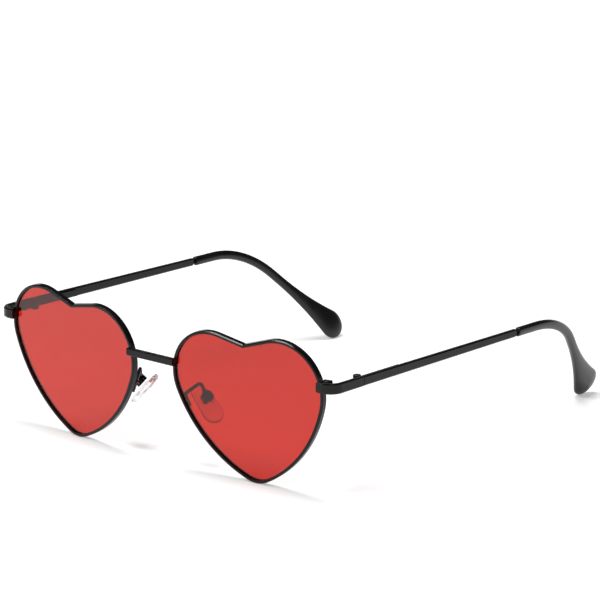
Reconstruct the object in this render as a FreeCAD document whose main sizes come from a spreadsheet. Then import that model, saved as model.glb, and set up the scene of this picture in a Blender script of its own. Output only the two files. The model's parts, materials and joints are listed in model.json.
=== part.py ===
import FreeCAD, Part
import math
import os
import Sketcher
from FreeCAD import Placement, Rotation, Vector

# Sunglasses with flat heart lenses in grooved metal rims. +Z is up, +Y runs back along the temples
# and +X is the wearer's left. The origin lies on the floor, under the middle of the part.

# Driving sizes in millimetres, angles in degrees, and shares of the sizes that they follow
SIZES = {
    # Heart outline, from the heart's own origin: two lobes, two sides and a rounded bottom
    "rim_gap": 16.62,
    "lobe_offset": 12.8,
    "lobe_rise": 8.77,
    "lobe_radius": 15.09,
    "notch_depth": 2.81,
    "side_radius": 43.06,
    "bottom_radius": 9.2,
    "bottom_drop": 22.44,
    # How each heart stands: top forward, outer side back, bottom outward
    "front_lean": 5.05,
    "front_wrap": 4.74,
    "heart_roll": 2.78,
    # Rim with its groove, and the lens in it
    "rim_width": 0.95,
    "rim_depth": 2.0,
    "rim_edge_chamfer": 0.28,
    "groove_depth": 0.45,
    "lens_thickness": 0.85,
    "lens_clearance": 0.05,
    # Bars soldered on the fronts of the rims
    "bridge_height": 33.6,
    "bridge_tall": 2.35,
    "bridge_deep": 1.7,
    "end_tall": 3.25,
    "leg_fall_share": 0.03,
    "end_deep": 1.65,
    "end_bend_radius": 4.6,
    "seat_bite": 0.25,
    "bar_edge_share": 0.26,
    "square_share": 0.99,
    # Closing block behind the end piece, with its screw
    "lock_width": 2.4,
    "lock_depth": 2.5,
    "lock_tall": 3.2,
    "lock_slit": 0.16,
    "lock_corner": 0.9,
    "lock_screw_radius": 0.5,
    "lock_head_radius": 0.9,
    "lock_head_tall": 0.45,
    # Hinge: three knuckles on one screw
    "hinge_stand_out": 1.91,
    "hinge_axis_y": 13.9,
    "temple_height": 35.0,
    "knuckle_radius": 1.2,
    "knuckle_tall": 0.95,
    "knuckle_gap": 0.04,
    "knuckle_room": 0.15,
    "leaf_stand_off": 0.1,
    "leaf_thickness": 1.0,
    "front_leaf_tall": 2.0,
    "front_leaf_length": 4.5,
    "temple_leaf_tall": 2.0,
    "temple_leaf_length": 18.5,
    "hinge_screw_radius": 0.6,
    "hinge_head_radius": 0.85,
    "hinge_head_tall": 0.4,
    "butt_gap": 0.12,
    # Temple bar and its core wire
    "temple_toe_in": 0.8,
    "temple_droop": 0.55,
    "bar_thickness": 1.4,
    "bar_tall": 2.5,
    "bar_length": 73.6,
    "bar_even_share": 0.1,
    "shoulder_radius": 0.55,
    "core_tall": 1.0,
    "core_thickness": 1.0,
    "core_run": 16.0,
    # Plastic tip: sleeve, ear bend, neck and paddle
    "tip_gap": 0.9,
    "sleeve_length": 9.0,
    "tip_tall": 2.95,
    "tip_thickness": 2.3,
    "tip_edge_share": 0.3,
    "ear_radius": 33.2,
    "ear_angle": 46.6,
    "ear_tilt": 23.5,
    "paddle_radius": 4.93,
    "paddle_neck_share": 0.095,
    # Nose pads, measured from the middle of each pad
    "pad_x": 12.9,
    "pad_y": 7.2,
    "pad_height": 18.9,
    "pad_slope": 46.0,
    "pad_splay": 22.0,
    "pad_length": 13.5,
    "pad_top_radius": 2.7,
    "pad_bottom_radius": 3.4,
    "pad_thickness": 2.4,
    "pad_edge_share": 0.34,
    "pad_plate_length": 7.4,
    "pad_plate_width": 3.6,
    "pad_plate_thickness": 0.5,
    # Tab, box and cross screw that hold the pad
    "tab_rise": 1.1,
    "tab_thickness": 1.5,
    "tab_radius": 0.75,
    "tab_side_gap": 0.05,
    "box_radius": 1.9,
    "box_half_width": 1.65,
    "box_depth": 2.2,
    "box_gap": 0.5,
    "box_floor": 0.5,
    "pad_screw_radius": 0.42,
    "pad_head_radius": 0.8,
    "pad_head_tall": 0.4,
    # Wire arm from the back of the rim to the pad box
    "arm_radius": 0.55,
    "arm_bend_radius": 0.9,
    "arm_bend_count": 5,
    "arm_side_count": 12,
    "arm_foot_low": 1.6,
    "arm_foot_high": 2.0,
    "arm_back": 4.5,
    "arm_rise": 3.1,
    "arm_out": 2.4,
    # Small clearances and the overrun of cutting shapes
    "screw_clearance": 0.03,
    "slot_width": 0.25,
    "slot_depth": 0.22,
    "overrun": 1.0,
}

X_AXIS = Vector(1, 0, 0)
Y_AXIS = Vector(0, 1, 0)
Z_AXIS = Vector(0, 0, 1)

os.makedirs("parts", exist_ok=True)
doc = FreeCAD.newDocument("heart_sunglasses")
sheet = doc.addObject("Spreadsheet::Sheet", "Sizes")
for row, (alias, number) in enumerate(SIZES.items(), start=1):
    sheet.set(f"A{row}", alias)
    sheet.set(f"B{row}", str(number))
    sheet.setAlias(f"B{row}", alias)
doc.recompute()

nodes = []
placed = []


def size(alias):
    """Number in the sheet's cell of that alias."""
    return float(sheet.get(alias))


def node(piece, name):
    """Name a finished sub-part and keep it for export."""
    piece.Label = name
    nodes.append(piece)
    return piece


def both_sides(piece, name):
    """Keep the left piece and its mirror image on the right."""
    node(piece, f"{name}_left")
    image = doc.addObject("Part::Mirroring", f"{name}_right")
    image.Source = piece
    image.Normal = X_AXIS
    node(image, f"{name}_right")


def put(piece, place):
    """Set a piece's place and remember that it moves with the origin."""
    piece.Placement = place
    placed.append(piece)
    return piece


def bind(piece, **expressions):
    """Tie properties of a piece to the sheet."""
    for name, expression in expressions.items():
        piece.setExpression(name, expression)
    return piece


# Plain solids and booleans


def block(name, place, **expressions):
    return put(bind(doc.addObject("Part::Box", name), **expressions), place)


def rod(name, place, **expressions):
    return put(bind(doc.addObject("Part::Cylinder", name), **expressions), place)


def cut(name, base, *tools):
    """Base less every tool."""
    for count, tool in enumerate(tools, start=1):
        last = count == len(tools)
        result = doc.addObject("Part::Cut", name if last else f"{name}_cut_{count}")
        result.Base = base
        result.Tool = tool
        base = result
    return base


def fuse(name, *pieces):
    result = doc.addObject("Part::MultiFuse", name)
    result.Shapes = list(pieces)
    result.Refine = True
    return result


def common(name, base, tool):
    result = doc.addObject("Part::Common", name)
    result.Base = base
    result.Tool = tool
    return result


def mirror_image(piece):
    """Right-hand copy of a cutting shape."""
    image = doc.addObject("Part::Mirroring", f"{piece.Name}_mirrored")
    image.Source = piece
    image.Normal = X_AXIS
    return image


# Bodies, sketches and their constraints


def new_body(name):
    return doc.addObject("PartDesign::Body", name)


def new_sketch(body, name, role, offset=None):
    """Sketch on one of the body's own planes, moved along that plane's normal."""
    plane = next(part for part in body.Origin.OriginFeatures if part.Role == role)
    sketch = body.newObject("Sketcher::SketchObject", name)
    sketch.AttachmentSupport = [(plane, "")]
    sketch.MapMode = "FlatFace"
    if offset:
        sketch.setExpression("AttachmentOffset.Base.z", offset)
    return sketch


def join(sketch, kind, *refs):
    sketch.addConstraint(Sketcher.Constraint(kind, *refs))


def hold(sketch, kind, refs, expression=None):
    """Hold a radius or a distance as drawn, or at the value of an expression."""
    if kind == "Radius":
        value = sketch.Geometry[refs[0]].Radius
    else:
        span = sketch.getPoint(*refs[2:]) - sketch.getPoint(*refs[:2])
        value = span.x if kind == "DistanceX" else span.y
        if value < 0:
            refs = refs[2:] + refs[:2]
            value = -value
    index = sketch.addConstraint(Sketcher.Constraint(kind, *refs, value))
    if expression:
        name = f"{kind}_{index}"
        sketch.renameConstraint(index, name)
        sketch.setExpression(f"Constraints.{name}", expression)


def at_x(sketch, edge, point, expression=None):
    """Hold how far a point stands from the sketch's origin, along x."""
    hold(sketch, "DistanceX", (-1, 1, edge, point), expression)


def at_y(sketch, edge, point, expression=None):
    hold(sketch, "DistanceY", (-1, 1, edge, point), expression)


def on_axis(sketch, edge, point):
    """Keep a point on the sketch's upright axis."""
    join(sketch, "PointOnObject", edge, point, -2)


def arc(centre, radius, start, end):
    """Counter-clockwise arc in a sketch, angles in radians."""
    return Part.ArcOfCircle(Part.Circle(centre, Z_AXIS, radius), start, end)


def at_angle(centre, radius, angle):
    return centre + Vector(radius * math.cos(angle), radius * math.sin(angle), 0)


def pad(body, name, sketch, length, backward=False):
    feature = body.newObject("PartDesign::Pad", name)
    feature.Profile = sketch
    feature.Reversed = backward
    feature.setExpression("Length", length)
    return feature


def pocket(body, name, sketch, length):
    feature = body.newObject("PartDesign::Pocket", name)
    feature.Profile = sketch
    feature.setExpression("Length", length)
    return feature


def dress(body, kind, name, base, wanted, expression):
    """Fillet or chamfer the edges of a feature that the test wants."""
    doc.recompute()
    names = [f"Edge{i}" for i, edge in enumerate(base.Shape.Edges, start=1) if wanted(edge)]
    feature = body.newObject(f"PartDesign::{kind}", name)
    feature.Base = (base, names)
    feature.setExpression("Radius" if kind == "Fillet" else "Size", expression)
    return feature


def edge_test(faces):
    """Test for edges that lie on the outer wire of any of the faces."""
    edges = [edge for face in faces for edge in face.OuterWire.Edges]
    return lambda edge: any(edge.isSame(other) for other in edges)


def faces_along(feature, axis):
    """The two outermost flat faces square to an axis."""
    doc.recompute()
    flat = [face for face in feature.Shape.Faces if isinstance(face.Surface, Part.Plane)]
    square = [face for face in flat if lies_along(face.Surface.Axis, axis)]
    ordered = sorted(square, key=lambda face: face.CenterOfMass.dot(axis))
    return [ordered[0], ordered[-1]]


def lies_along(direction, axis):
    return abs(direction.dot(axis)) > size("square_share")


# Heart outline


def notch_angle():
    """Rise of the line that runs from the notch up to the lobe."""
    drop = size("notch_depth") - size("lobe_radius")
    reach = math.hypot(size("lobe_offset"), drop)
    return math.atan2(drop, size("lobe_offset")) + math.asin(size("lobe_radius") / reach)


def heart_curves(inset):
    """The heart drawn in by inset: bottom, right side, lobe and notch line, then the same on the left."""
    lobe = Vector(size("lobe_offset"), size("lobe_rise"), 0)
    bottom = Vector(0, size("bottom_radius") - size("bottom_drop"), 0)
    lobe_span = size("side_radius") - size("lobe_radius")
    bottom_span = size("side_radius") - size("bottom_radius")
    chord = bottom - lobe
    along = (lobe_span**2 - bottom_span**2 + chord.Length**2) / (2 * chord.Length)
    across = math.sqrt(lobe_span**2 - along**2)
    unit = chord / chord.Length
    side = lobe + unit * along + Vector(unit.y, -unit.x, 0) * across
    lobe_end = math.atan2(lobe.y - side.y, lobe.x - side.x)
    side_end = math.atan2(bottom.y - side.y, bottom.x - side.x)
    rise = notch_angle()
    notch_y = lobe.y + size("lobe_radius") - size("notch_depth") - inset / math.cos(rise)
    notch = Vector(0, notch_y, 0)
    lobe_radius = size("lobe_radius") - inset
    side_radius = size("side_radius") - inset
    lobe_start = rise + math.pi / 2
    lobe_point = at_angle(lobe, lobe_radius, lobe_start)
    lobe_left = Vector(-lobe.x, lobe.y, 0)
    side_left = Vector(-side.x, side.y, 0)
    return [
        arc(bottom, size("bottom_radius") - inset, -math.pi - side_end, side_end),
        arc(side, side_radius, side_end, lobe_end),
        arc(lobe, lobe_radius, lobe_end, lobe_start),
        Part.LineSegment(notch, lobe_point),
        Part.LineSegment(notch, Vector(-lobe_point.x, lobe_point.y, 0)),
        arc(lobe_left, lobe_radius, math.pi - lobe_start, math.pi - lobe_end),
        arc(side_left, side_radius, math.pi - lobe_end, math.pi - side_end),
    ]


def heart_loop(sketch, inset=0.0, construction=False):
    """Add one closed heart to a sketch and return the index of its first edge."""
    first = len(sketch.Geometry)
    sketch.addGeometry(heart_curves(inset), construction)
    bottom, side, lobe, line, line_left, lobe_left, side_left = range(first, first + 7)
    join(sketch, "Tangent", bottom, 2, side, 1)
    join(sketch, "Tangent", side, 2, lobe, 1)
    join(sketch, "Tangent", lobe, 2, line, 2)
    join(sketch, "Coincident", line, 1, line_left, 1)
    join(sketch, "Tangent", line_left, 2, lobe_left, 1)
    join(sketch, "Tangent", lobe_left, 2, side_left, 1)
    join(sketch, "Tangent", side_left, 2, bottom, 1)
    return first


def outer_heart(sketch, construction=False):
    """The rim's outer outline, held at the sheet's sizes."""
    first = heart_loop(sketch, construction=construction)
    bottom, side, lobe, line, _, lobe_left, side_left = range(first, first + 7)
    join(sketch, "Symmetric", lobe, 3, lobe_left, 3, -2)
    on_axis(sketch, bottom, 3)
    on_axis(sketch, line, 1)
    join(sketch, "Equal", lobe, lobe_left)
    join(sketch, "Equal", side, side_left)
    at_x(sketch, lobe, 3, "Sizes.lobe_offset")
    at_y(sketch, lobe, 3, "Sizes.lobe_rise")
    hold(sketch, "Radius", (lobe,), "Sizes.lobe_radius")
    hold(sketch, "Radius", (side,), "Sizes.side_radius")
    hold(sketch, "Radius", (bottom,), "Sizes.bottom_radius")
    at_y(sketch, bottom, 3, "Sizes.bottom_drop - Sizes.bottom_radius")
    at_y(sketch, line, 1, "Sizes.lobe_rise + Sizes.lobe_radius - Sizes.notch_depth")
    return first


def inner_heart(sketch, outer, inset, expression):
    """A heart at a constant distance inside the outer one."""
    first = heart_loop(sketch, inset)
    for step in (0, 1, 2, 5, 6):
        join(sketch, "Coincident", first + step, 3, outer + step, 3)
    for step in (3, 4):
        join(sketch, "Parallel", first + step, outer + step)
    hold(sketch, "Radius", (first + 2,), f"Sizes.lobe_radius - ({expression})")


def inset_sketch(body, name, inset, expression, offset):
    """Sketch of one inset heart, with the rim's outline as its guide."""
    sketch = new_sketch(body, name, "XZ_Plane", offset)
    outer = outer_heart(sketch, construction=True)
    inner_heart(sketch, outer, inset, expression)
    return sketch


def rim_reach(height, inset=0.0):
    """How far the outline stands from the heart's axis at a height on its lobe."""
    radius = size("lobe_radius") - inset
    return size("lobe_offset") + math.sqrt(radius**2 - (height - size("lobe_rise"))**2)


def side_reach(height, inset=0.0):
    """How far the outline stands from the heart's axis at a height on its side arc."""
    side = heart_curves(0.0)[1]
    radius = size("side_radius") - inset
    return side.Center.x + math.sqrt(radius**2 - (height - side.Center.y)**2)


# Where the left heart stands: local x runs outward, y back and z up


def heart_axis_x():
    """How far each heart's own axis stands from the middle of the front."""
    return size("rim_gap") / 2 + size("lobe_offset") + size("lobe_radius")


def heart_place():
    turn = Rotation(X_AXIS, size("front_lean"))
    turn = turn * Rotation(Z_AXIS, size("front_wrap"))
    turn = turn * Rotation(Y_AXIS, -size("heart_roll"))
    edge = size("rim_edge_chamfer")
    middle = size("bottom_radius") - size("bottom_drop")
    slope = math.hypot(turn.multVec(X_AXIS).z, turn.multVec(Z_AXIS).z)
    corners = [Vector(0, y, middle) for y in (edge, size("rim_depth") - edge)]
    lowest = min(turn.multVec(corner).z for corner in corners) - size("bottom_radius") * slope
    return Placement(Vector(heart_axis_x(), 0, -lowest), turn)


HEART = heart_place()


def heart_height(side, height):
    """Local height of the rim's widest part at a height above the floor: side 1 outer, -1 inner."""
    widest = HEART.multVec(Vector(side * (size("lobe_offset") + size("lobe_radius")), 0, size("lobe_rise")))
    return HEART.inverse().multVec(Vector(widest.x, widest.y, height)).z


BRIDGE_RISE = heart_height(-1, size("bridge_height"))
END_RISE = heart_height(1, size("temple_height"))


# The hinge's pin stands outside the widest part of the heart
HINGE_X = "Sizes.rim_gap / 2 + 2 * (Sizes.lobe_offset + Sizes.lobe_radius) + Sizes.hinge_stand_out"


def hinge_point():
    across = heart_axis_x() + size("lobe_offset") + size("lobe_radius") + size("hinge_stand_out")
    return Vector(across, size("hinge_axis_y"), size("temple_height"))


def in_heart(x, y, z):
    return HEART * Placement(Vector(x, y, z), Rotation())


# Rims and lenses


GROOVE_FRONT = "(Sizes.rim_depth - Sizes.lens_thickness) / 2 - Sizes.lens_clearance"
GROOVE_INSET = "Sizes.rim_width - Sizes.groove_depth"
LENS_INSET = f"{GROOVE_INSET} + Sizes.lens_clearance"


def make_rim():
    body = new_body("rim_ring")
    ring = new_sketch(body, "rim_outline", "XZ_Plane")
    outer = outer_heart(ring)
    inner_heart(ring, outer, size("rim_width"), "Sizes.rim_width")
    blank = pad(body, "rim_pad", ring, "Sizes.rim_depth", backward=True)
    dress(body, "Chamfer", "rim_edges", blank, edge_test(faces_along(blank, Y_AXIS)),
          "min(Sizes.rim_edge_chamfer; Sizes.rim_width / 2)")
    inset = size("rim_width") - size("groove_depth")
    groove = inset_sketch(body, "groove_outline", inset, GROOVE_INSET, f"-({GROOVE_FRONT})")
    pocket(body, "groove", groove, "Sizes.lens_thickness + 2 * Sizes.lens_clearance")
    put(body, HEART)
    start = rim_reach(END_RISE) - size("rim_width") - size("overrun")
    slit = block("rim_slit", in_heart(start, -size("overrun"), END_RISE - size("lock_slit") / 2),
                 Length="Sizes.rim_width + 2 * Sizes.overrun",
                 Width="Sizes.rim_depth + 2 * Sizes.overrun",
                 Height="Sizes.lock_slit")
    both_sides(cut("rim", body, slit), "rim")


def make_lens():
    body = new_body("lens")
    inset = size("rim_width") - size("groove_depth") + size("lens_clearance")
    front = f"-({GROOVE_FRONT} + Sizes.lens_clearance)"
    outline = inset_sketch(body, "lens_outline", inset, LENS_INSET, front)
    pad(body, "lens_pad", outline, "Sizes.lens_thickness", backward=True)
    both_sides(put(body, HEART), "lens")


# Bars on the front: each is trimmed behind to lie flat on the rim


def rim_seat(name, side, rise, tall, past=0.0):
    """Box behind the plane of the rim's front, over the width of the rim and some way past it."""
    outer = size("lobe_offset") + size("lobe_radius") + past
    inner = rim_reach(rise, size("rim_width")) - size("overrun")
    start = inner if side > 0 else -outer
    seat = block(name, in_heart(start, 0, rise - size(tall)),
                 Width="Sizes.rim_depth + Sizes.overrun", Height=f"2 * Sizes.{tall}")
    seat.Length = outer - inner
    return seat


def make_bridge():
    rise = BRIDGE_RISE
    end = HEART.multVec(Vector(-rim_reach(rise, size("rim_width")), 0, rise))
    body = new_body("bridge_bar")
    section = new_sketch(body, "bridge_section", "YZ_Plane")
    rectangle(section, size("bridge_deep"), size("bridge_tall"), "Sizes.bridge_deep", "Sizes.bridge_tall")
    bar = body.newObject("PartDesign::Pad", "bridge_pad")
    bar.Profile = section
    bar.Length = 2 * end.x
    dress(body, "Fillet", "bridge_edges", bar, lambda edge: lies_along(edge.tangentAt(0), X_AXIS),
          "min(Sizes.bridge_deep; Sizes.bridge_tall) * Sizes.bar_edge_share")
    back = end.y + size("seat_bite")
    put(body, Placement(Vector(-end.x, back - size("bridge_deep") / 2, size("bridge_height")), Rotation()))
    seat = rim_seat("bridge_seat", -1, rise, "bridge_tall")
    node(cut("bridge", body, seat, mirror_image(seat)), "bridge")


def rectangle(sketch, width, height, width_expression, height_expression):
    """Rectangle about the sketch's origin."""
    corners = [Vector(x * width / 2, y * height / 2, 0) for x, y in ((-1, -1), (1, -1), (1, 1), (-1, 1))]
    first = len(sketch.Geometry)
    sketch.addGeometry([Part.LineSegment(corners[i - 1], corners[i]) for i in range(4)])
    for i in range(4):
        join(sketch, "Coincident", first + i, 2, first + (i + 1) % 4, 1)
        join(sketch, "Vertical" if i % 2 == 0 else "Horizontal", first + i)
    join(sketch, "Symmetric", first, 2, first + 2, 2, -1, 1)
    hold(sketch, "DistanceX", (first + 1, 1, first + 1, 2), width_expression)
    hold(sketch, "DistanceY", (first, 2, first, 1), height_expression)


def make_end_piece():
    rise = END_RISE
    seat_x = rim_reach(rise) - size("rim_width") / 2
    front = HEART.multVec(Vector(seat_x, 0, rise)).y + size("seat_bite") - size("end_deep")
    inner_end = HEART.multVec(Vector(rim_reach(rise, size("rim_width")), 0, rise)).x
    back = front + size("end_deep")
    leg_inner = hinge_point().x + size("knuckle_radius") + size("leaf_stand_off")
    leg_outer = leg_inner + size("bar_thickness")
    leg_end = size("hinge_axis_y") - size("butt_gap") / 2
    outer_r = size("end_bend_radius")
    inner_r = outer_r - size("end_deep")
    quarter = math.pi / 2
    body = new_body("end_piece_bar")
    plan = new_sketch(body, "end_plan", "XY_Plane", "-Sizes.end_tall / 2")
    corner = Vector(leg_outer - outer_r, front + outer_r, 0)
    inside = Vector(leg_inner - inner_r, back + inner_r, 0)
    plan.addGeometry([
        Part.LineSegment(Vector(inner_end, front, 0), at_angle(corner, outer_r, -quarter)),
        arc(corner, outer_r, -quarter, 0),
        Part.LineSegment(at_angle(corner, outer_r, 0), Vector(leg_outer, leg_end, 0)),
        Part.LineSegment(Vector(leg_outer, leg_end, 0), Vector(leg_inner, leg_end, 0)),
        Part.LineSegment(Vector(leg_inner, leg_end, 0), at_angle(inside, inner_r, 0)),
        arc(inside, inner_r, -quarter, 0),
        Part.LineSegment(at_angle(inside, inner_r, -quarter), Vector(inner_end, back, 0)),
        Part.LineSegment(Vector(inner_end, back, 0), Vector(inner_end, front, 0)),
    ])
    join(plan, "Tangent", 0, 2, 1, 1)
    join(plan, "Tangent", 1, 2, 2, 1)
    join(plan, "Coincident", 2, 2, 3, 1)
    join(plan, "Coincident", 3, 2, 4, 1)
    join(plan, "Tangent", 4, 2, 5, 2)
    join(plan, "Tangent", 5, 1, 6, 1)
    join(plan, "Coincident", 6, 2, 7, 1)
    join(plan, "Coincident", 7, 2, 0, 1)
    for line in (0, 3, 6):
        join(plan, "Horizontal", line)
    for line in (2, 4, 7):
        join(plan, "Vertical", line)
    hold(plan, "Radius", (1,), "Sizes.end_bend_radius")
    hold(plan, "Radius", (5,), "Sizes.end_bend_radius - Sizes.end_deep")
    hold(plan, "DistanceY", (7, 2, 7, 1), "Sizes.end_deep")
    hold(plan, "DistanceX", (3, 2, 3, 1), "Sizes.bar_thickness")
    at_x(plan, 4, 1, f"{HINGE_X} + Sizes.knuckle_radius + Sizes.leaf_stand_off")
    at_y(plan, 3, 2, "Sizes.hinge_axis_y - Sizes.butt_gap / 2")
    at_x(plan, 0, 1)
    at_y(plan, 0, 1)
    blank = pad(body, "end_pad", plan, "Sizes.end_tall")
    dress(body, "Chamfer", "end_edges", blank, edge_test(faces_along(blank, Z_AXIS)),
          "min(Sizes.end_deep; Sizes.bar_thickness) * Sizes.bar_edge_share")
    narrow_leg(body, back, leg_end, leg_outer)
    put(body, Placement(Vector(0, 0, size("temple_height")), Rotation()))
    lock = size("lock_width") - size("lock_corner") / 2
    seat = rim_seat("end_seat", 1, rise, "end_tall", past=lock)
    both_sides(cut("end_piece", body, seat), "end_piece")


def narrow_leg(body, start, end, outer):
    """Taper the leg above and below, down to the temple bar's height at the hinge."""
    tall = size("end_tall") / 2
    past = end + size("overrun")
    fall = size("end_tall") * size("leg_fall_share")
    low = tall - fall * (past - start) / (end - start)
    wedge = new_sketch(body, "end_taper", "YZ_Plane")
    wedge.AttachmentOffset = Placement(Vector(0, 0, outer + size("overrun")), Rotation())
    for side in (1, -1):
        corners = [Vector(start, side * tall, 0), Vector(past, side * tall, 0), Vector(past, side * low, 0)]
        wedge.addGeometry([Part.LineSegment(corners[i - 1], corners[i]) for i in range(3)])
    for first in (0, 3):
        for i in range(3):
            join(wedge, "Coincident", first + i, 2, first + (i + 1) % 3, 1)
        join(wedge, "Horizontal", first + 1)
        join(wedge, "Vertical", first + 2)
        at_x(wedge, first, 2)
        at_y(wedge, first, 2, "Sizes.end_tall / 2")
        hold(wedge, "DistanceX", (first + 1, 1, first + 1, 2))
        hold(wedge, "DistanceY", (first + 2, 1, first + 2, 2))
    pocket(body, "end_narrow", wedge, "Sizes.bar_thickness + Sizes.end_bend_radius + Sizes.overrun")


# Closing block: two halves on the rim's ends, drawn together by a screw


def make_rim_lock():
    edge = rim_reach(END_RISE)
    body = new_body("rim_blank")
    outline = new_sketch(body, "rim_blank_outline", "XZ_Plane", "Sizes.overrun")
    outer_heart(outline)
    pad(body, "rim_blank_pad", outline, "Sizes.lock_depth + 2 * Sizes.overrun", backward=True)
    put(body, HEART)
    middle_x = edge + size("lock_width") / 2
    middle_y = size("lock_depth") / 2
    half = size("lock_tall") / 2
    hole = rod("lock_hole", in_heart(middle_x, middle_y, END_RISE - half - size("overrun")),
               Radius="Sizes.lock_screw_radius + Sizes.screw_clearance",
               Height="Sizes.lock_tall + 2 * Sizes.overrun")
    turn = in_heart(edge + size("lock_width") - size("lock_corner"), 0, END_RISE - half)
    turn = turn * Placement(Vector(), Rotation(Z_AXIS, 45))
    corner = block("lock_corner_cut", turn * Placement(Vector(0, -size("lock_width"), 0), Rotation()),
                   Length="2 * Sizes.lock_width", Width="Sizes.lock_width",
                   Height="Sizes.lock_tall")
    for name, start in (("upper", size("lock_slit") / 2), ("lower", -half)):
        raw = block(f"lock_{name}", in_heart(edge - size("overrun"), 0, END_RISE + start),
                    Length="Sizes.lock_width + Sizes.overrun", Width="Sizes.lock_depth",
                    Height="(Sizes.lock_tall - Sizes.lock_slit) / 2")
        both_sides(cut(f"rim_lock_{name}", raw, body, hole, corner), f"rim_lock_{name}")
    make_screw("rim_lock_screw", in_heart(middle_x, middle_y, END_RISE - half), "lock", "Sizes.lock_tall",
               flipped=True)


def make_screw(name, place, kind, length, flipped=False):
    """Slotted screw whose shank runs up from the place: the head sits at the far end, or at the start."""
    shank = rod(f"{name}_shank", place, Radius=f"Sizes.{kind}_screw_radius", Height=length)
    doc.recompute()
    long = float(shank.Height)
    tall = size(f"{kind}_head_tall")
    base = -tall if flipped else long
    head = rod(f"{name}_head", place * Placement(Vector(0, 0, base), Rotation()),
               Radius=f"Sizes.{kind}_head_radius", Height=f"Sizes.{kind}_head_tall")
    radius = size(f"{kind}_head_radius")
    depth = base - size("overrun") if flipped else base + tall - size("slot_depth")
    corner = Vector(-2 * radius, -size("slot_width") / 2, depth)
    slot = block(f"{name}_slot", place * Placement(corner, Rotation()),
                 Length=f"4 * Sizes.{kind}_head_radius", Width="Sizes.slot_width",
                 Height="Sizes.slot_depth + Sizes.overrun")
    both_sides(cut(name, fuse(f"{name}_whole", shank, head), slot), name)


# Temple hinge: local z of the hinge runs up its leaning pin


HINGE = Placement(hinge_point(), Rotation(X_AXIS, size("front_lean")))
TEMPLE_TURN = Rotation(Z_AXIS, size("temple_toe_in")) * Rotation(X_AXIS, -size("temple_droop"))
TEMPLE = Placement(hinge_point(), TEMPLE_TURN)


def knuckle(name, level, radius, tall):
    """Round about the pin, centred on one of the three levels of the hinge."""
    height = level * (size("knuckle_tall") + size("knuckle_gap"))
    rise = Placement(Vector(0, 0, height), Rotation())
    piece = rod(name, HINGE * rise, Radius=radius, Height=tall)
    doc.recompute()
    piece.Placement = HINGE * Placement(Vector(0, 0, height - float(piece.Height) / 2), Rotation())
    return piece


def make_hinge():
    radius = "Sizes.knuckle_radius"
    tall = "Sizes.knuckle_tall"
    room = "Sizes.knuckle_radius + Sizes.knuckle_room"
    wide = "Sizes.knuckle_tall + 2 * Sizes.knuckle_gap"
    bore = knuckle("hinge_bore", 0, "Sizes.hinge_screw_radius + Sizes.screw_clearance",
                   "5 * Sizes.knuckle_tall")
    barrel_half = 1.5 * size("knuckle_tall") + size("knuckle_gap")
    sink_floor = Placement(Vector(0, 0, barrel_half - size("hinge_head_tall")), Rotation())
    sink = rod("head_sink", HINGE * sink_floor,
               Radius="Sizes.hinge_head_radius + Sizes.screw_clearance",
               Height="Sizes.hinge_head_tall + Sizes.overrun")
    front_leaf = hinge_leaf("front", HINGE, -size("front_leaf_length"))
    upper = knuckle("knuckle_upper", 1, radius, tall)
    lower = knuckle("knuckle_lower", -1, radius, tall)
    front = fuse("front_hinge_whole", front_leaf, upper, lower)
    both_sides(cut("front_hinge", front, knuckle("middle_room", 0, room, wide), bore, sink), "front_hinge")
    temple_leaf = hinge_leaf("temple", TEMPLE, 0)
    temple = fuse("temple_hinge_whole", temple_leaf, knuckle("knuckle_middle", 0, radius, tall))
    upper_room = knuckle("upper_room", 1, room, wide)
    lower_room = knuckle("lower_room", -1, room, wide)
    both_sides(cut("temple_hinge", temple, upper_room, lower_room, bore), "temple_hinge")
    make_screw("hinge_screw", HINGE * Placement(Vector(0, 0, -barrel_half), Rotation()), "hinge",
               "3 * Sizes.knuckle_tall + 2 * Sizes.knuckle_gap - Sizes.hinge_head_tall")


def hinge_leaf(kind, place, start):
    """Flat plate that lies on the inner face of the end piece or of the temple bar."""
    inner = size("knuckle_radius") + size("leaf_stand_off") - size("leaf_thickness")
    corner = Vector(inner, start, -size(f"{kind}_leaf_tall") / 2)
    return block(f"{kind}_leaf", place * Placement(corner, Rotation()),
                 Length="Sizes.leaf_thickness", Width=f"Sizes.{kind}_leaf_length",
                 Height=f"Sizes.{kind}_leaf_tall")


# Temple bar, core wire and plastic tip


BAR_OFFSET = size("knuckle_radius") + size("leaf_stand_off") + size("bar_thickness") / 2
EAR = TEMPLE * Placement(Vector(BAR_OFFSET, 0, 0), Rotation(Y_AXIS, size("ear_tilt")))
TIP_START = size("bar_length") + size("tip_gap")
EAR_START = TIP_START + size("sleeve_length")


def ear_points():
    """Centre of the ear bend, end of the bend and the middle of the paddle's round end, in its plane."""
    radius = size("ear_radius")
    angle = math.radians(size("ear_angle"))
    tilt = math.radians(size("ear_tilt"))
    droop = math.radians(size("temple_droop"))
    upright = math.cos(tilt) * math.cos(droop)
    centre = Vector(EAR_START, -radius, 0)
    bend_end = at_angle(centre, radius, math.pi / 2 - angle)
    # The round end of the paddle rests on the floor
    end = size("paddle_radius")
    side = size("tip_thickness") / 2
    edge = min(size("tip_tall"), size("tip_thickness")) * size("tip_edge_share")
    stand = max(end * math.cos(tilt) + (side - edge) * math.sin(tilt),
                (end - edge) * math.cos(tilt) + side * math.sin(tilt))
    drop = size("temple_height") - stand - math.sin(droop) * bend_end.x + upright * bend_end.y
    run = drop / (math.sin(droop) * math.cos(angle) + upright * math.sin(angle))
    paddle = bend_end + Vector(math.cos(angle), -math.sin(angle), 0) * run
    return centre, bend_end, paddle


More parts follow.
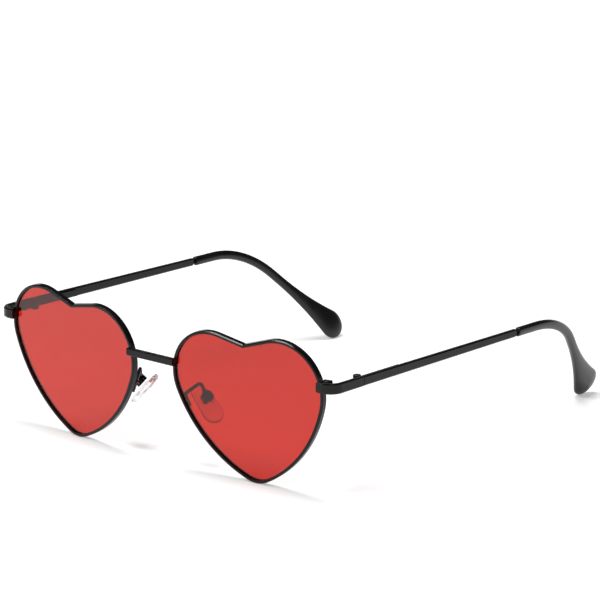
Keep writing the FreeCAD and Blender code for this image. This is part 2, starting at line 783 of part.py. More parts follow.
def tip_outline(sketch):
    """Sleeve, ear bend, straight neck and the paddle that flares from it, in the plane of the bend."""
    centre, bend_end, paddle = ear_points()
    half = size("tip_tall") / 2
    over = size("ear_radius") + half
    under = size("ear_radius") - half
    end = size("paddle_radius")
    quarter = math.pi / 2
    square = quarter - math.radians(size("ear_angle"))
    flared = (paddle - bend_end) * (1 - size("paddle_neck_share"))
    neck_end = paddle - flared
    flare_length = flared.Length
    flare = (flare_length**2 - end**2 + half**2) / (2 * (end - half))
    upper = at_angle(neck_end, half + flare, square)
    lower = at_angle(neck_end, -half - flare, square)
    swing = math.asin(flare_length / (flare + end))
    sketch.addGeometry([
        Part.LineSegment(Vector(TIP_START, half, 0), Vector(EAR_START, half, 0)),
        arc(centre, over, square, quarter),
        Part.LineSegment(at_angle(centre, over, square), at_angle(neck_end, half, square)),
        arc(upper, flare, square - math.pi, square - math.pi + swing),
        arc(paddle, end, square - math.pi - swing, square + swing),
        arc(lower, flare, square - swing, square),
        Part.LineSegment(at_angle(neck_end, -half, square), at_angle(centre, under, square)),
        arc(centre, under, square, quarter),
        Part.LineSegment(Vector(EAR_START, -half, 0), Vector(TIP_START, -half, 0)),
        Part.LineSegment(Vector(TIP_START, -half, 0), Vector(TIP_START, half, 0)),
    ])
    join(sketch, "Tangent", 0, 2, 1, 2)
    join(sketch, "Tangent", 1, 1, 2, 1)
    join(sketch, "Tangent", 2, 2, 3, 1)
    join(sketch, "Tangent", 3, 2, 4, 2)
    join(sketch, "Tangent", 4, 1, 5, 1)
    join(sketch, "Tangent", 5, 2, 6, 1)
    join(sketch, "Tangent", 6, 2, 7, 1)
    join(sketch, "Tangent", 7, 2, 8, 1)
    join(sketch, "Coincident", 8, 2, 9, 1)
    join(sketch, "Coincident", 9, 2, 0, 1)
    join(sketch, "Horizontal", 0)
    join(sketch, "Horizontal", 8)
    join(sketch, "Vertical", 9)
    join(sketch, "Parallel", 2, 6)
    join(sketch, "Coincident", 1, 3, 7, 3)
    join(sketch, "Equal", 3, 5)
    hold(sketch, "Radius", (1,), "Sizes.ear_radius + Sizes.tip_tall / 2")
    hold(sketch, "Radius", (3,))
    hold(sketch, "Radius", (4,), "Sizes.paddle_radius")
    at_x(sketch, 0, 1, "Sizes.bar_length + Sizes.tip_gap")
    at_x(sketch, 1, 3, "Sizes.bar_length + Sizes.tip_gap + Sizes.sleeve_length")
    hold(sketch, "DistanceY", (9, 1, 9, 2), "Sizes.tip_tall")
    at_y(sketch, 0, 1, "Sizes.tip_tall / 2")
    at_x(sketch, 4, 3)
    at_y(sketch, 4, 3)
    hold(sketch, "DistanceX", (2, 1, 2, 2))


def core_pipe(body, kind, name, start, run, room=""):
    """Wire along the middle of the sleeve and the ear bend: added as the core, or cut as its bore."""
    centre, bend_end, _ = ear_points()
    angle = math.radians(size("ear_angle"))
    far = bend_end + Vector(math.cos(angle), -math.sin(angle), 0) * run
    spine = new_sketch(body, f"{name}_spine", "YZ_Plane")
    spine.addGeometry([
        Part.LineSegment(Vector(start, 0, 0), Vector(EAR_START, 0, 0)),
        arc(centre, size("ear_radius"), math.pi / 2 - angle, math.pi / 2),
        Part.LineSegment(bend_end, far),
    ])
    join(spine, "Tangent", 0, 2, 1, 2)
    join(spine, "Tangent", 1, 1, 2, 1)
    join(spine, "Horizontal", 0)
    join(spine, "PointOnObject", 0, 1, -1)
    hold(spine, "Radius", (1,), "Sizes.ear_radius")
    at_x(spine, 0, 1)
    at_x(spine, 1, 3, "Sizes.bar_length + Sizes.tip_gap + Sizes.sleeve_length")
    hold(spine, "DistanceX", (2, 1, 2, 2))
    hold(spine, "DistanceY", (2, 1, 2, 2))
    section = new_sketch(body, f"{name}_section", "XZ_Plane")
    section.AttachmentOffset = Placement(Vector(0, 0, -start), Rotation())
    rectangle(section, size("core_thickness"), size("core_tall"),
              f"Sizes.core_thickness{room}", f"Sizes.core_tall{room}")
    pipe = body.newObject(f"PartDesign::{kind}", name)
    pipe.Profile = section
    pipe.Spine = (spine, ["Edge1", "Edge2", "Edge3"])
    return pipe


def make_temple():
    body = new_body("temple_bar")
    half = size("bar_tall") / 2
    root = size("end_tall") * (0.5 - size("leg_fall_share"))
    start = size("butt_gap") / 2
    end = size("bar_length")
    taper = end * (1 - size("bar_even_share"))
    turn = size("shoulder_radius")
    quarter = math.pi / 2
    inner_face = "Sizes.knuckle_radius + Sizes.leaf_stand_off"
    side = new_sketch(body, "temple_side", "YZ_Plane", inner_face)
    shoulder = Vector(end - turn, half - turn, 0)
    heel = Vector(end - turn, turn - half, 0)
    side.addGeometry([
        Part.LineSegment(Vector(start, root, 0), Vector(taper, half, 0)),
        Part.LineSegment(Vector(taper, half, 0), at_angle(shoulder, turn, quarter)),
        arc(shoulder, turn, 0, quarter),
        Part.LineSegment(at_angle(shoulder, turn, 0), at_angle(heel, turn, 0)),
        arc(heel, turn, -quarter, 0),
        Part.LineSegment(at_angle(heel, turn, -quarter), Vector(taper, -half, 0)),
        Part.LineSegment(Vector(taper, -half, 0), Vector(start, -root, 0)),
        Part.LineSegment(Vector(start, -root, 0), Vector(start, root, 0)),
    ])
    join(side, "Coincident", 0, 2, 1, 1)
    join(side, "Tangent", 1, 2, 2, 2)
    join(side, "Tangent", 2, 1, 3, 1)
    join(side, "Tangent", 3, 2, 4, 2)
    join(side, "Tangent", 4, 1, 5, 1)
    join(side, "Coincident", 5, 2, 6, 1)
    join(side, "Coincident", 6, 2, 7, 1)
    join(side, "Coincident", 7, 2, 0, 1)
    join(side, "Horizontal", 1)
    join(side, "Horizontal", 5)
    join(side, "Vertical", 3)
    join(side, "Vertical", 7)
    join(side, "Equal", 2, 4)
    join(side, "Vertical", 0, 2, 5, 2)
    hold(side, "Radius", (2,), "Sizes.shoulder_radius")
    at_x(side, 0, 1, "Sizes.butt_gap / 2")
    at_x(side, 0, 2, "Sizes.bar_length * (1 - Sizes.bar_even_share)")
    at_x(side, 3, 1, "Sizes.bar_length")
    hold(side, "DistanceY", (7, 1, 7, 2), "Sizes.end_tall * (1 - 2 * Sizes.leg_fall_share)")
    at_y(side, 0, 1, "Sizes.end_tall * (0.5 - Sizes.leg_fall_share)")
    hold(side, "DistanceY", (5, 2, 1, 1), "Sizes.bar_tall")
    at_y(side, 1, 1, "Sizes.bar_tall / 2")
    bar = pad(body, "temple_pad", side, "Sizes.bar_thickness")
    dress(body, "Chamfer", "temple_edges", bar, edge_test(faces_along(bar, X_AXIS)),
          "min(Sizes.bar_tall; Sizes.bar_thickness) * Sizes.bar_edge_share")
    put(body, TEMPLE)
    core = new_body("temple_core")
    core_pipe(core, "AdditivePipe", "core_wire", end - size("overrun"), size("core_run"))
    put(core, EAR)
    both_sides(fuse("temple", body, core), "temple")


def make_temple_tip():
    body = new_body("temple_tip")
    outline = new_sketch(body, "tip_outline", "YZ_Plane", "-Sizes.tip_thickness / 2")
    tip_outline(outline)
    blank = pad(body, "tip_pad", outline, "Sizes.tip_thickness")
    dress(body, "Chamfer", "tip_edges", blank, edge_test(faces_along(blank, X_AXIS)),
          "min(Sizes.tip_tall; Sizes.tip_thickness) * Sizes.tip_edge_share")
    core_pipe(body, "SubtractivePipe", "core_bore", TIP_START - size("overrun"),
              size("core_run") + size("overrun"), " + 2 * Sizes.screw_clearance")
    both_sides(put(body, EAR), "temple_tip")


# Nose pads: local x points from the nose to the box, y back and z up along the pad


PAD_TURN = Rotation(Y_AXIS, -size("pad_slope")) * Rotation(Z_AXIS, -size("pad_splay"))
PAD =Placement(Vector(size("pad_x"), size("pad_y"), size("pad_height")), PAD_TURN)
BOX_FRONT = size("pad_thickness") / 2 + size("box_gap")
TAB_AXIS = BOX_FRONT + (size("box_depth") - size("box_floor")) / 2


def in_pad(x, y, z, turn=None):
    return PAD * Placement(Vector(x, y, z), turn or Rotation())


def make_nose_pad():
    top = size("pad_top_radius")
    low = size("pad_bottom_radius")
    upper = Vector(0, size("pad_length") / 2 - top, 0)
    lower = Vector(0, low - size("pad_length") / 2, 0)
    lean = math.asin((low - top) / (upper.y - lower.y))
    body = new_body("pad_shell")
    outline = new_sketch(body, "pad_outline", "YZ_Plane", "-Sizes.pad_thickness / 2")
    far = math.pi - lean
    outline.addGeometry([
        arc(upper, top, lean, far),
        Part.LineSegment(at_angle(upper, top, far), at_angle(lower, low, far)),
        arc(lower, low, far, 2 * math.pi + lean),
        Part.LineSegment(at_angle(lower, low, lean), at_angle(upper, top, lean)),
    ])
    join(outline, "Tangent", 0, 2, 1, 1)
    join(outline, "Tangent", 1, 2, 2, 1)
    join(outline, "Tangent", 2, 2, 3, 1)
    join(outline, "Tangent", 3, 2, 0, 1)
    on_axis(outline, 0, 3)
    on_axis(outline, 2, 3)
    hold(outline, "Radius", (0,), "Sizes.pad_top_radius")
    hold(outline, "Radius", (2,), "Sizes.pad_bottom_radius")
    at_y(outline, 0, 3, "Sizes.pad_length / 2 - Sizes.pad_top_radius")
    at_y(outline, 2, 3, "Sizes.pad_length / 2 - Sizes.pad_bottom_radius")
    blank = pad(body, "pad_pad", outline, "Sizes.pad_thickness")
    dress(body, "Chamfer", "pad_edges", blank, edge_test(faces_along(blank, X_AXIS)),
          "Sizes.pad_thickness * Sizes.pad_edge_share")
    put(body, PAD)
    core = pad_core()
    both_sides(cut("nose_pad", body, core), "nose_pad")
    across = Rotation(X_AXIS, -90)
    eye = rod("tab_eye", in_pad(TAB_AXIS, -size("overrun") * 2, size("tab_rise"), across),
              Radius="Sizes.pad_screw_radius + Sizes.screw_clearance", Height="4 * Sizes.overrun")
    both_sides(cut("nose_pad_core", core, eye), "nose_pad_core")


def pad_core():
    """Plate inside the pad with the round-ended tab that stands out towards the box."""
    rise = size("tab_rise")
    plate = block("pad_plate", in_pad(0, -size("pad_plate_width") / 2, rise - size("pad_plate_length") / 2),
                  Length="Sizes.pad_plate_thickness", Width="Sizes.pad_plate_width",
                  Height="Sizes.pad_plate_length")
    neck = block("pad_tab", in_pad(0, -size("tab_thickness") / 2, rise - size("tab_radius")),
                 Width="Sizes.tab_thickness", Height="2 * Sizes.tab_radius")
    neck.Length = TAB_AXIS
    across = Rotation(X_AXIS, -90)
    end = rod("pad_tab_end", in_pad(TAB_AXIS, -size("tab_thickness") / 2, rise, across),
              Radius="Sizes.tab_radius", Height="Sizes.tab_thickness")
    return fuse("pad_core_whole", plate, neck, end)


def make_pad_box():
    rise = size("tab_rise")
    sideways = Rotation(Y_AXIS, 90)
    cup = rod("box_cup", in_pad(BOX_FRONT, 0, rise, sideways),
              Radius="Sizes.box_radius", Height="Sizes.box_depth")
    flats = block("box_flats", in_pad(BOX_FRONT - size("overrun"), -size("box_half_width"),
                                      rise - size("box_radius") - size("overrun")),
                  Length="Sizes.box_depth + 2 * Sizes.overrun", Width="2 * Sizes.box_half_width",
                  Height="2 * Sizes.box_radius + 2 * Sizes.overrun")
    blank = common("box_blank", cup, flats)
    slot_half = size("tab_thickness") / 2 + size("tab_side_gap")
    slot = block("box_slot", in_pad(BOX_FRONT - size("overrun"), -slot_half,
                                    rise - size("box_radius") - size("overrun")),
                 Length="Sizes.box_depth - Sizes.box_floor + Sizes.overrun",
                 Width="Sizes.tab_thickness + 2 * Sizes.tab_side_gap",
                 Height="2 * Sizes.box_radius + 2 * Sizes.overrun")
    across = Rotation(X_AXIS, -90)
    low = -size("box_half_width") - size("overrun")
    hole = rod("box_hole", in_pad(TAB_AXIS, low, rise, across),
               Radius="Sizes.pad_screw_radius + Sizes.screw_clearance",
               Height="2 * Sizes.box_half_width + 2 * Sizes.overrun")
    both_sides(cut("pad_box", blank, slot, hole), "pad_box")
    make_screw("pad_screw", in_pad(TAB_AXIS, -size("box_half_width"), rise, across), "pad",
               "2 * Sizes.box_half_width")
    make_pad_arm(blank)


def make_pad_arm(blank):
    """Round wire: a foot along the back of the rim, then back over an apex and down into the box."""
    back = size("rim_depth") + size("arm_radius")
    heights = (-size("arm_foot_low"), size("arm_foot_high"))
    feet = [Vector(-side_reach(height, size("rim_width") / 2), back, height) for height in heights]
    low, high = [HEART.multVec(foot) for foot in feet]
    apex = high + Vector(size("arm_out"), size("arm_back"), size("arm_rise"))
    target = in_pad(BOX_FRONT + size("box_depth") / 2, 0, size("tab_rise")).Base
    sides = int(size("arm_side_count"))
    ring = [at_angle(Vector(), size("arm_radius"), 2 * math.pi * side / sides) for side in range(sides + 1)]
    places = wire_places([low, high, apex, target])
    sections = [Part.makePolygon([place.multVec(point) for point in ring]) for place in places]
    wire = doc.addObject("Part::Feature", "arm_wire")
    wire.Shape = Part.makeLoft(sections, True, True)
    placed.append(wire)
    both_sides(cut("pad_arm", wire, blank), "pad_arm")


def wire_places(points):
    """Places of the wire's sections along straight runs, with a few in each bend between the runs."""
    radius = size("arm_bend_radius")
    steps = int(size("arm_bend_count"))
    turn = Rotation(Z_AXIS, points[1] - points[0])
    places = [Placement(points[0], turn)]
    for here, after in zip(points[1:], points[2:]):
        ahead = turn.multVec(Z_AXIS)
        out = (after - here).normalize()
        angle = ahead.getAngle(out)
        centre = here + (out - ahead).normalize() * (radius / math.cos(angle / 2))
        spoke = here - ahead * (radius * math.tan(angle / 2)) - centre
        for step in range(steps + 1):
            bend = Rotation(ahead.cross(out), math.degrees(angle) * step / steps)
            places.append(Placement(centre + bend.multVec(spoke), bend * turn))
        turn = places[-1].Rotation
    places.append(Placement(points[-1], turn))
    return places


make_rim()
make_lens()
make_bridge()
make_end_piece()
make_rim_lock()
make_hinge()
make_temple()
make_temple_tip()
make_nose_pad()
make_pad_box()
doc.recompute()

# The origin goes under the middle of the part
whole = FreeCAD.BoundBox()
for piece in nodes:
    whole.add(piece.Shape.optimalBoundingBox(False))
for piece in placed:
    piece.Placement = Placement(Vector(0, -whole.Center.y, 0), Rotation()) * piece.Placement
doc.recompute()

for piece in doc.Objects:
    if {"Invalid", "Error"} & set(piece.State):
        raise RuntimeError(f"{piece.Label} failed: {piece.State}")
for piece in nodes:
    if piece.Shape.isNull() or not piece.Shape.isValid() or len(piece.Shape.Solids) != 1:
        raise RuntimeError(f"{piece.Label} is not one sound solid")
for piece in nodes:
    piece.Shape.exportStep(f"parts/{piece.Label}.step")
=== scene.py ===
import json
import math

import bmesh
import bpy
from mathutils import Matrix, Vector


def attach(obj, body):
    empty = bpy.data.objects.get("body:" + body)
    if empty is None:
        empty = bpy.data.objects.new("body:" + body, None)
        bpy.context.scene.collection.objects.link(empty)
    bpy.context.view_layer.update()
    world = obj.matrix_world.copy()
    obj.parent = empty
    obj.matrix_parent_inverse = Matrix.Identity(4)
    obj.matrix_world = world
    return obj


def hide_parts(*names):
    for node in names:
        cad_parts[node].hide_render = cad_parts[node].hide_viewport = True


MM = 0.001
SIDES = ("left", "right")

# Camera, fitted to the photograph: direction of its line of sight in degrees, how far that line
# passes beside and above the middle of the front, and how far off the camera stands, in millimetres
VIEW_AZIMUTH = 41.116
VIEW_ELEVATION = 14.817
VIEW_RIGHT = 42.186
VIEW_UP = 27.165
VIEW_DISTANCE = 1198.8
FRONT_HEIGHT = 22.302
PIXELS_PER_MM = 3.32
IMAGE_PIXELS = 600
SENSOR_MM = 36.0
CLIP_NEAR = 0.05
CLIP_FAR = 20

# Nose pad, in millimetres and degrees: place behind the front and slopes as its solid has them, an
# outline a hair inside the solid's, then its two crowns and how full each is
PAD_X = 12.9
PAD_BACK = 7.2
PAD_HEIGHT = 18.9
PAD_SPLAY = 22.0
PAD_SLOPE = 46.0
PAD_LENGTH = 13.4
PAD_TOP_RADIUS = 2.65
PAD_BOTTOM_RADIUS = 3.35
PAD_NOSE_CROWN = 1.2
PAD_NOSE_POWER = 2.3
PAD_BACK_CROWN = 1.15
PAD_BACK_POWER = 3.4
PAD_ARC_POINTS = 20
PAD_RINGS = (0.03, 0.1, 0.22, 0.38, 0.58, 0.8)

# Plastic tip, in its solid's sizes: from the hinge back along the temple, down the ear bend, and
# along a run that brings the paddle's round end to the floor
HINGE_X = 66.0
HINGE_BACK = 13.9
TEMPLE_HEIGHT = 35.0
TEMPLE_TOE_IN = 0.8
TEMPLE_DROOP = 0.55
BAR_OFFSET = 2.0
TIP_START = 74.5
SLEEVE_LENGTH = 9.0
TIP_TALL = 2.95
TIP_THICKNESS = 2.3
TIP_BORE = 0.53
EAR_RADIUS = 33.2
EAR_ANGLE = math.radians(46.6)
EAR_TILT = 23.5
PADDLE_RUN = 29.33
PADDLE_RADIUS = 4.93
PADDLE_NECK_SHARE = 0.095

# How the shown tip is rounded, which its solid is not: the paddle's share of extra thickness, the
# mouth as distances back and shares of the section, how deep its bore is open, and the powers of
# the sections, from an oval (2) to a box
PADDLE_SWELL = 0.2
MOUTH_ROUNDING = ((0.0, 0.80), (0.08, 0.91), (0.25, 0.98), (0.5, 1.0))
BORE_DEPTH = 2
BORE_POWER = 8.0
SLEEVE_POWER = 2.6
PADDLE_POWER = 2.3
PADDLE_END_POWER = 2.8

# Steps along the tip and round it; the last ring stops a little short of the paddle's very end,
# where a small face closes it
SLEEVE_STEPS = 4
EAR_STEPS = 16
FLARE_STEPS = 16
PADDLE_END_STEPS = 10
PADDLE_END_SPREAD = 10.3
TIP_RING_POINTS = 32

# Lens: height over which its red is painted from lighter below to darker above, painted light and
# shade that offsets the floor's shade seen through its lower part, in metres
LENS_PAINTED_SHADE_HEIGHT = 0.046

# Floor, in metres: its colour, and the light that it adds for the camera and in gloss and glass,
# less near the object, where its shadows fall
FLOOR_HALF = 3.0
FLOOR_COLOUR = (0.8, 0.8, 0.8, 1)
FLOOR_LIFT_NEAR = 0.36
FLOOR_LIFT_FAR = 0.72
FLOOR_NEAR = 0.15
FLOOR_FAR = 0.7

# Room: its plain light, and what the gloss sees of it, white about the horizon and dark overhead
AMBIENT = 0.25
ROOM_WHITE = 1.0
ROOM_DARK = 0.06
ROOM_LOW = 0.1
ROOM_HIGH = 0.28

# Lamps: a strip that draws the thin lines of light along the lobes, and a box overhead that draws
# the thin shadows under the rims, in metres and watts
KEY_LAMP = {
    "place": (-0.40, -0.60, 0.86), "target": (0, -0.03, 0.02), "along": (0.56, -0.35, 0.16),
    "width": 0.75, "height": 0.08, "power": 4.4,
}
TOP_LAMP = {
    "place": (0, -0.05, 1.0), "target": (0, -0.05, 0), "along": (1, 0, 0),
    "width": 0.5, "height": 0.24, "power": 6.2,
}

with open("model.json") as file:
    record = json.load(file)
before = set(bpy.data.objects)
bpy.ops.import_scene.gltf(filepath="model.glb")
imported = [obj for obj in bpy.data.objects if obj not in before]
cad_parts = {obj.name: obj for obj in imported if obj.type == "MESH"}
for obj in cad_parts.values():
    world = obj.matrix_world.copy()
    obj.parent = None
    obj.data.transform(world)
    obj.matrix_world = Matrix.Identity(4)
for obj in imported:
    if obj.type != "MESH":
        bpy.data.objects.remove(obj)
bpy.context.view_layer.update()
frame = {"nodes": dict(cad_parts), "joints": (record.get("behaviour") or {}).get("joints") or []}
scene = bpy.context.scene

# The front's own zero along Y, found from the pin of the left hinge
hinge = next(joint for joint in frame["joints"] if joint["name"] == "temple_left_fold")
pin = Vector(hinge["pos_m"]) / MM
lean = Vector(hinge["axis"])
FRONT_Y = pin.y + (TEMPLE_HEIGHT - pin.z) * lean.y / lean.z - HINGE_BACK


# Nodes


def new_material(name):
    material = bpy.data.materials.new(name)
    material.use_nodes = True
    tree = material.node_tree
    return material, tree, tree.nodes["Principled BSDF"]


def noise(tree, scale, detail=3.0, stretch=(1, 1, 1)):
    """Noise in the part's own coordinates, in metres."""
    place = tree.nodes.new("ShaderNodeTexCoord")
    mapping = tree.nodes.new("ShaderNodeMapping")
    mapping.inputs["Scale"].default_value = stretch
    texture = tree.nodes.new("ShaderNodeTexNoise")
    texture.inputs["Scale"].default_value = scale
    texture.inputs["Detail"].default_value = detail
    tree.links.new(place.outputs["Object"], mapping.inputs["Vector"])
    tree.links.new(mapping.outputs["Vector"], texture.inputs["Vector"])
    return texture.outputs["Fac"]


def height_of(tree, coordinates):
    """Z of one of the texture coordinates."""
    place = tree.nodes.new("ShaderNodeTexCoord")
    split = tree.nodes.new("ShaderNodeSeparateXYZ")
    tree.links.new(place.outputs[coordinates], split.inputs["Vector"])
    return split.outputs["Z"]


def ranged(tree, value, low, high, start=0.3, end=0.7):
    """A number that goes from low to high as a value goes from start to end."""
    spread = tree.nodes.new("ShaderNodeMapRange")
    spread.inputs["From Min"].default_value = start
    spread.inputs["From Max"].default_value = end
    spread.inputs["To Min"].default_value = low
    spread.inputs["To Max"].default_value = high
    tree.links.new(value, spread.inputs["Value"])
    return spread.outputs["Result"]


def tinted(tree, value, first, second, start=0.3, end=0.7):
    """A colour that goes from the first to the second as a value goes from start to end."""
    ramp = tree.nodes.new("ShaderNodeValToRGB")
    ramp.color_ramp.elements[0].position = start
    ramp.color_ramp.elements[0].color = (*first, 1)
    ramp.color_ramp.elements[1].position = end
    ramp.color_ramp.elements[1].color = (*second, 1)
    tree.links.new(value, ramp.inputs["Fac"])
    return ramp.outputs["Color"]


def varied(tree, bsdf, value, colours, roughness):
    """Colour and roughness that both follow a texture's value."""
    tree.links.new(tinted(tree, value, *colours), bsdf.inputs["Base Color"])
    tree.links.new(ranged(tree, value, *roughness), bsdf.inputs["Roughness"])


def bumped(tree, bsdf, height, distance):
    bump = tree.nodes.new("ShaderNodeBump")
    bump.inputs["Strength"].default_value = 1.0
    bump.inputs["Distance"].default_value = distance
    tree.links.new(height, bump.inputs["Height"])
    tree.links.new(bump.outputs["Normal"], bsdf.inputs["Normal"])


def seen_by(tree, *rays):
    """1 where one of these kinds of rays meets the surface."""
    path = tree.nodes.new("ShaderNodeLightPath")
    value = path.outputs[rays[0]]
    for ray in rays[1:]:
        either = tree.nodes.new("ShaderNodeMath")
        either.operation = "MAXIMUM"
        tree.links.new(value, either.inputs[0])
        tree.links.new(path.outputs[ray], either.inputs[1])
        value = either.outputs["Value"]
    return value


def mixed(tree, factor, first, second):
    """A number between two others, each a number or a node's output."""
    blend = tree.nodes.new("ShaderNodeMix")
    tree.links.new(factor, blend.inputs["Factor"])
    for name, value in (("A", first), ("B", second)):
        if isinstance(value, float):
            blend.inputs[name].default_value = value
        else:
            tree.links.new(value, blend.inputs[name])
    return blend.outputs["Result"]


# Materials


def lacquer_material():
    """Black baked lacquer over metal: even, glossy, with a faint orange peel."""
    material, tree, bsdf = new_material("black_lacquer")
    colours = ((0.002, 0.002, 0.0022), (0.005, 0.005, 0.0053))
    varied(tree, bsdf, noise(tree, scale=260), colours, roughness=(0.11, 0.17))
    bsdf.inputs["Specular IOR Level"].default_value = 0.24
    bumped(tree, bsdf, noise(tree, scale=2600, detail=2.0), distance=0.000012)
    return material


def tip_material():
    """Black moulded plastic, a little softer than the lacquer."""
    material, tree, bsdf = new_material("black_plastic")
    colours = ((0.003, 0.003, 0.0032), (0.006, 0.006, 0.0063))
    varied(tree, bsdf, noise(tree, scale=120), colours, roughness=(0.17, 0.25))
    bsdf.inputs["Specular IOR Level"].default_value = 0.42
    bumped(tree, bsdf, noise(tree, scale=1400, detail=2.0), distance=0.00001)
    return material


def steel_material():
    """Turned steel of the screws."""
    material, tree, bsdf = new_material("screw_steel")
    lathe = noise(tree, scale=5000, detail=2.0, stretch=(1, 1, 6))
    colours = ((0.20, 0.20, 0.205), (0.34, 0.34, 0.345))
    varied(tree, bsdf, lathe, colours, roughness=(0.26, 0.42))
    bsdf.inputs["Metallic"].default_value = 1.0
    return material


def lens_material():
    """Clear red lens, its red painted lighter towards the bottom and darker towards the top:
    painted light and shade that offsets the floor's shade seen through it.
    """
    material, tree, bsdf = new_material("lens_red")
    height = ranged(tree, height_of(tree, "Object"), low=0.0, high=1.0,
                    start=0.0, end=LENS_PAINTED_SHADE_HEIGHT)
    # Bottom and top colours of the lens: the lighter bottom is painted light, the darker top is
    # painted shade
    colours = ((0.512, 0.015, 0.0058), (0.484, 0.017, 0.0072))
    tint = tinted(tree, height, *colours, start=0.1, end=0.9)
    tree.links.new(tint, bsdf.inputs["Base Color"])
    bsdf.inputs["Roughness"].default_value = 0.0
    bsdf.inputs["IOR"].default_value = 1.45
    bsdf.inputs["Transmission Weight"].default_value = 1.0
    return material


def silicone_material():
    """Clear soft pads with a faintly cloudy body."""
    material, tree, bsdf = new_material("clear_silicone")
    colours = ((0.92, 0.92, 0.93), (0.97, 0.97, 0.97))
    varied(tree, bsdf, noise(tree, scale=420), colours, roughness=(0.12, 0.22))
    bsdf.inputs["IOR"].default_value = 1.3
    bsdf.inputs["Transmission Weight"].default_value = 0.93
    return material


def core_material():
    """Clear hard plastic of the plates in the pads."""
    material, tree, bsdf = new_material("clear_core")
    colours = ((0.93, 0.94, 0.95), (0.98, 0.98, 0.98))
    varied(tree, bsdf, noise(tree, scale=700), colours, roughness=(0.02, 0.08))
    bsdf.inputs["IOR"].default_value = 1.12
    bsdf.inputs["Transmission Weight"].default_value = 1.0
    return material


def dress(nodes, material):
    for node in nodes:
        slots = frame["nodes"][node].data.materials
        slots.clear()
        slots.append(material)


def both(*names):
    return [f"{name}_{side}" for name in names for side in SIDES]


lacquer = lacquer_material()
silicone = silicone_material()
tip_black = tip_material()
dress(["bridge"], lacquer)
dress(both("rim", "end_piece", "rim_lock_upper", "rim_lock_lower", "front_hinge", "temple_hinge",
           "temple", "pad_arm", "pad_box"), lacquer)
dress(both("rim_lock_screw", "hinge_screw", "pad_screw"), steel_material())
dress(both("temple_tip"), tip_black)
dress(both("lens"), lens_material())
dress(both("nose_pad_core"), core_material())


# Meshes of the new pieces, made in millimetres for the left side


def skin(mesh, loops):
    """Faces between each ring of points and the next."""
    for lower, upper in zip(loops, loops[1:]):
        for i in range(len(lower)):
            j = (i + 1) % len(lower)
            mesh.faces.new((lower[i], lower[j], upper[j], upper[i]))


def finish_piece(mesh, place, name, side, material):
    """Puts a mesh in its place, mirrored for the right side, as a piece of the scene."""
    bmesh.ops.recalc_face_normals(mesh, faces=mesh.faces)
    bmesh.ops.transform(mesh, matrix=Matrix.Scale(MM, 4) @ place, verts=mesh.verts)
    if side == "right":
        bmesh.ops.transform(mesh, matrix=Matrix.Scale(-1, 4, (1, 0, 0)), verts=mesh.verts)
        bmesh.ops.reverse_faces(mesh, faces=mesh.faces)
    data = bpy.data.meshes.new(name)
    mesh.to_mesh(data)
    mesh.free()
    data.shade_smooth()
    data.materials.append(material)
    piece = bpy.data.objects.new(name, data)
    scene.collection.objects.link(piece)
    return piece


# Nose pads: crowned on the nose's side, flatter behind


def pad_outline():
    """Points of the pad's outline, wider below, about its middle."""
    top = Vector((0, PAD_LENGTH / 2 - PAD_TOP_RADIUS))
    bottom = Vector((0, PAD_BOTTOM_RADIUS - PAD_LENGTH / 2))
    slant = math.asin((PAD_BOTTOM_RADIUS - PAD_TOP_RADIUS) / (top.y - bottom.y))
    points = []
    for centre, radius, start, sweep in (
        (top, PAD_TOP_RADIUS, slant, math.pi - 2 * slant),
        (bottom, PAD_BOTTOM_RADIUS, math.pi - slant, math.pi + 2 * slant),
    ):
        for step in range(PAD_ARC_POINTS):
            angle = start + sweep * step / (PAD_ARC_POINTS - 1)
            points.append(centre + radius * Vector((math.cos(angle), math.sin(angle))))
    return points


def crown(share, power):
    """Part of a crown's full height, at a share of the way in from the edge."""
    return (1 - (1 - share) ** power) ** (1 / power)


def make_pad(side):
    outline = pad_outline()
    mesh = bmesh.new()
    rings = [(share, -PAD_NOSE_CROWN * crown(share, PAD_NOSE_POWER))
             for share in reversed(PAD_RINGS)]
    rings.append((0.0, 0.0))
    rings += [(share, PAD_BACK_CROWN * crown(share, PAD_BACK_POWER)) for share in PAD_RINGS]
    loops = [[mesh.verts.new((depth, point.x * (1 - share), point.y * (1 - share)))
              for point in outline] for share, depth in rings]
    skin(mesh, loops)
    for loop, depth in ((loops[0], -PAD_NOSE_CROWN), (loops[-1], PAD_BACK_CROWN)):
        middle = mesh.verts.new((depth, 0, 0))
        for i in range(len(outline)):
            mesh.faces.new((loop[i], loop[(i + 1) % len(outline)], middle))
    turn = (Matrix.Rotation(math.radians(-PAD_SLOPE), 4, "Y")
            @ Matrix.Rotation(math.radians(-PAD_SPLAY), 4, "Z"))
    place = Matrix.Translation((PAD_X, FRONT_Y + PAD_BACK, PAD_HEIGHT)) @ turn
    pad = finish_piece(mesh, place, f"silicone_pad_{side}", side, silicone)
    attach(pad, f"nose_pad_{side}")
    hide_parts(f"nose_pad_{side}")


# Plastic tips: sleeve, ear bend and a softly rounded flat paddle


def paddle_share(tall):
    """How far a half height has grown from the sleeve's to the paddle's."""
    half_tall = TIP_TALL / 2
    return (tall - half_tall) / (PADDLE_RADIUS - half_tall)


def swollen(tall):
    """Half the thickness where the tip has this half height."""
    return TIP_THICKNESS / 2 * (1 + PADDLE_SWELL * paddle_share(tall))


